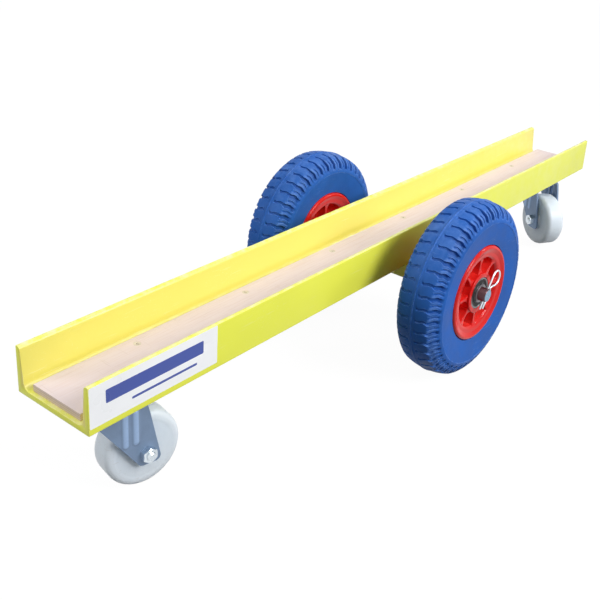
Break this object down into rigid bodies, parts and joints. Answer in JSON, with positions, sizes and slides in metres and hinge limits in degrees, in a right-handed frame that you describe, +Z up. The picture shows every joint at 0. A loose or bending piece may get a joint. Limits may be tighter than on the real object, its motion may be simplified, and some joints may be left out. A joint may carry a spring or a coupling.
{
  "type": "slab dolly",
  "caption": "Low shop dolly: open steel channel with a plywood floor carried on large centre wheels, with a swivel caster under each end",
  "frame": {"origin": "on the floor under the middle of the dolly", "axes": "+X along the channel, +Y across it along the axle, +Z up"},
  "size_m": [1.2, 0.368, 0.26],
  "materials": {
    "yellow_paint": "gloss paint",
    "birch_ply": "sanded birch plywood",
    "axle_steel": "bright drawn steel",
    "pale_zinc": "zinc plated",
    "zinc_plate": "blue zinc plated",
    "fork_zinc": "pressed steel, blue zinc plated",
    "bearing_steel": "ground steel with dark seals",
    "blue_tyre": "moulded blue tyre",
    "red_plastic": "moulded red plastic",
    "white_nylon": "cast white nylon"
  },
  "bodies": {
    "chassis": {"channel": "yellow_paint", "deck_board": "birch_ply", "axle_housing": "yellow_paint", "axle": "axle_steel", "board_screw_01": "pale_zinc", "board_screw_02": "pale_zinc", "board_screw_03": "pale_zinc", "board_screw_04": "pale_zinc", "board_screw_05": "pale_zinc", "board_screw_06": "pale_zinc", "board_screw_07": "pale_zinc", "board_screw_08": "pale_zinc", "board_screw_09": "pale_zinc", "board_screw_10": "pale_zinc", "board_screw_11": "pale_zinc", "board_screw_12": "pale_zinc", "front_inner_washer": "zinc_plate", "front_outer_washer": "zinc_plate", "rear_inner_washer": "zinc_plate", "rear_outer_washer": "zinc_plate", "front_clip": "zinc_plate", "rear_clip": "zinc_plate", "near_caster_plate": "zinc_plate", "far_caster_plate": "zinc_plate", "near_kingpin": "zinc_plate", "far_kingpin": "zinc_plate", "near_plate_bolt_1": "zinc_plate", "near_plate_bolt_2": "zinc_plate", "near_plate_bolt_3": "zinc_plate", "near_plate_bolt_4": "zinc_plate", "far_plate_bolt_1": "zinc_plate", "far_plate_bolt_2": "zinc_plate", "far_plate_bolt_3": "zinc_plate", "far_plate_bolt_4": "zinc_plate", "near_plate_nut_1": "zinc_plate", "near_plate_nut_2": "zinc_plate", "near_plate_nut_3": "zinc_plate", "near_plate_nut_4": "zinc_plate", "far_plate_nut_1": "zinc_plate", "far_plate_nut_2": "zinc_plate", "far_plate_nut_3": "zinc_plate", "far_plate_nut_4": "zinc_plate"},
    "front_wheel": {"front_tyre": "blue_tyre", "front_rim": "red_plastic", "front_bearing_a": "bearing_steel", "front_bearing_b": "bearing_steel"},
    "rear_wheel": {"rear_tyre": "blue_tyre", "rear_rim": "red_plastic", "rear_bearing_a": "bearing_steel", "rear_bearing_b": "bearing_steel"},
    "near_fork": {"near_caster_fork": "fork_zinc", "near_caster_sleeve": "zinc_plate", "near_caster_wheel_bolt": "zinc_plate", "near_caster_wheel_nut": "zinc_plate"},
    "near_roller": {"near_caster_wheel": "white_nylon"},
    "far_fork": {"far_caster_fork": "fork_zinc", "far_caster_sleeve": "zinc_plate", "far_caster_wheel_bolt": "zinc_plate", "far_caster_wheel_nut": "zinc_plate"},
    "far_roller": {"far_caster_wheel": "white_nylon"}
  },
  "joints": [
    {"name": "front_wheel_spin", "type": "hinge", "parent": "chassis", "child": "front_wheel", "pos_m": [0, -0.139, 0.13], "axis": [0, 1, 0], "continuous": true},
    {"name": "rear_wheel_spin", "type": "hinge", "parent": "chassis", "child": "rear_wheel", "pos_m": [0, 0.139, 0.13], "axis": [0, 1, 0], "continuous": true},
    {"name": "near_caster_swivel", "type": "hinge", "parent": "chassis", "child": "near_fork", "pos_m": [-0.53, 0, 0.144], "axis": [0, 0, 1], "continuous": true},
    {"name": "near_caster_spin", "type": "hinge", "parent": "near_fork", "child": "near_roller", "pos_m": [-0.49381, -0.00769, 0.056], "axis": [0.2079, 0.9781, 0], "continuous": true},
    {"name": "far_caster_swivel", "type": "hinge", "parent": "chassis", "child": "far_fork", "pos_m": [0.53, 0, 0.144], "axis": [0, 0, 1], "continuous": true},
    {"name": "far_caster_spin", "type": "hinge", "parent": "far_fork", "child": "far_roller", "pos_m": [0.51094, -0.03172, 0.056], "axis": [0.8572, -0.515, 0], "continuous": true}
  ]
}
